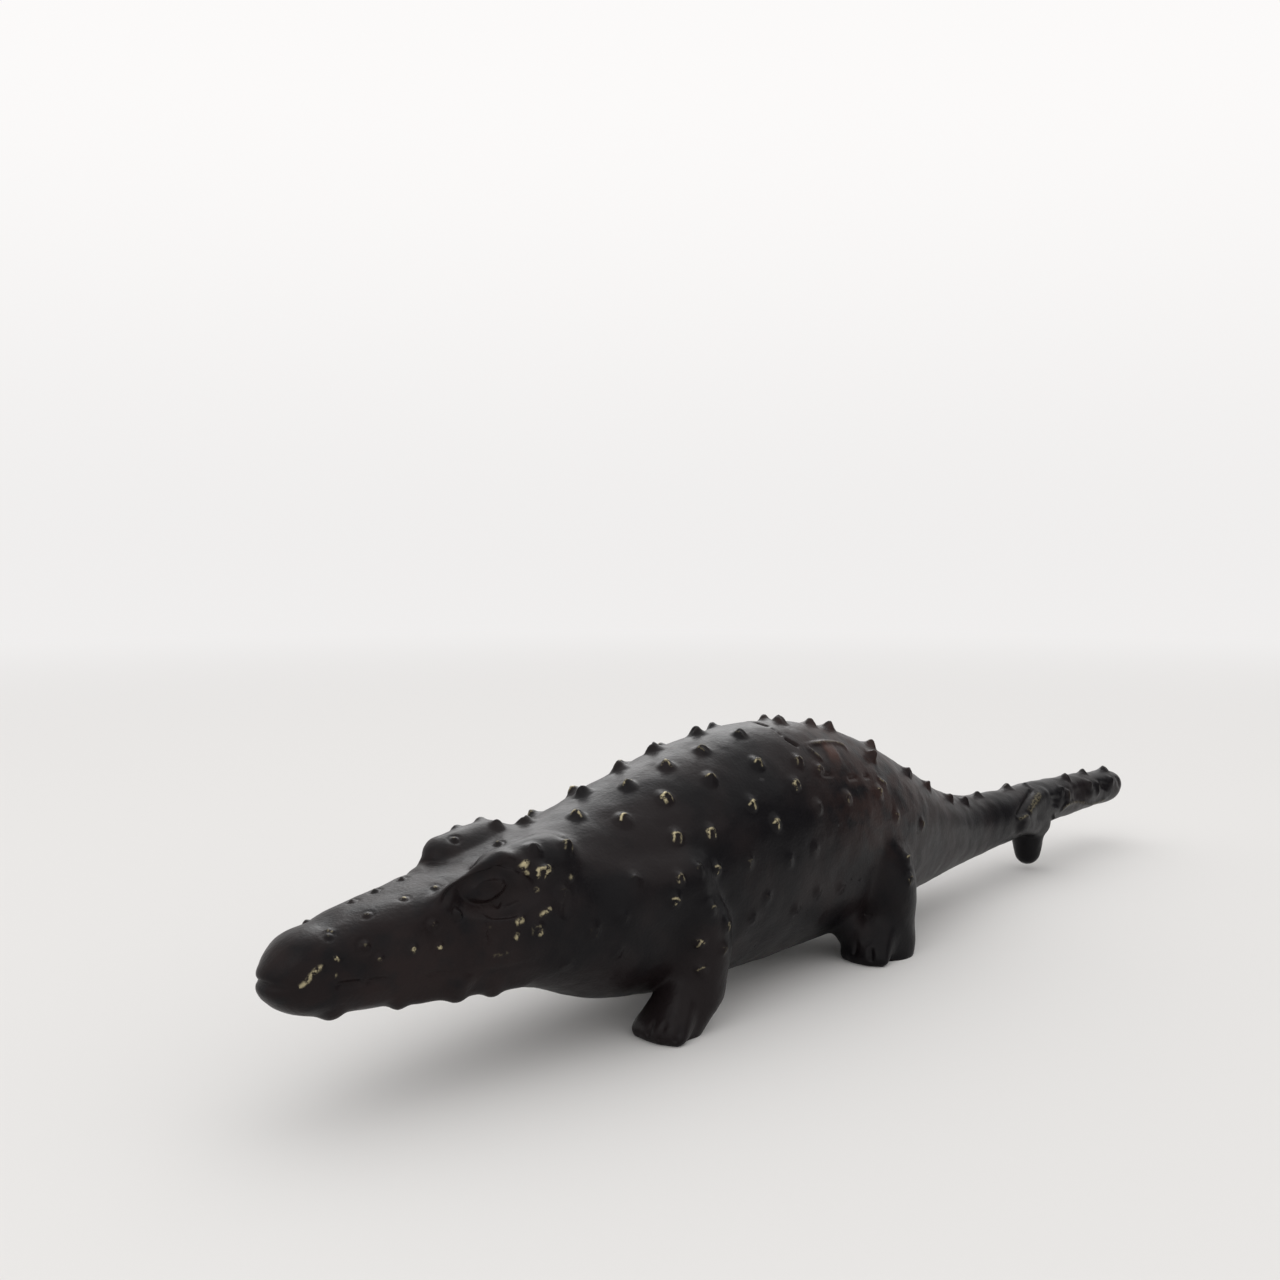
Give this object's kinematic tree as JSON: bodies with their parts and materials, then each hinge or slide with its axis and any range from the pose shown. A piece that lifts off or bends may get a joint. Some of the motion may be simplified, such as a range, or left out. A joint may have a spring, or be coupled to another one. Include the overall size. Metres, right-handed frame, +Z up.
{
  "type": "cast crocodile figure",
  "caption": "Low cast-metal crocodile on short column legs, with rows of pinched knobs, a closed mouth and a straight tail over a rounded peg.",
  "frame": {"origin": "middle of the bounding box on the floor that the feet stand on", "axes": "-X towards the snout, +X towards the tail, -Y the animal's left side, +Z up"},
  "size_m": [0.494, 0.077, 0.0902],
  "materials": {
    "bronze": "dark brown patina on bronze, worn to yellow metal on the knobs' tips"
  },
  "bodies": {
    "root": {"crocodile": "bronze"}
  },
  "joints": []
}
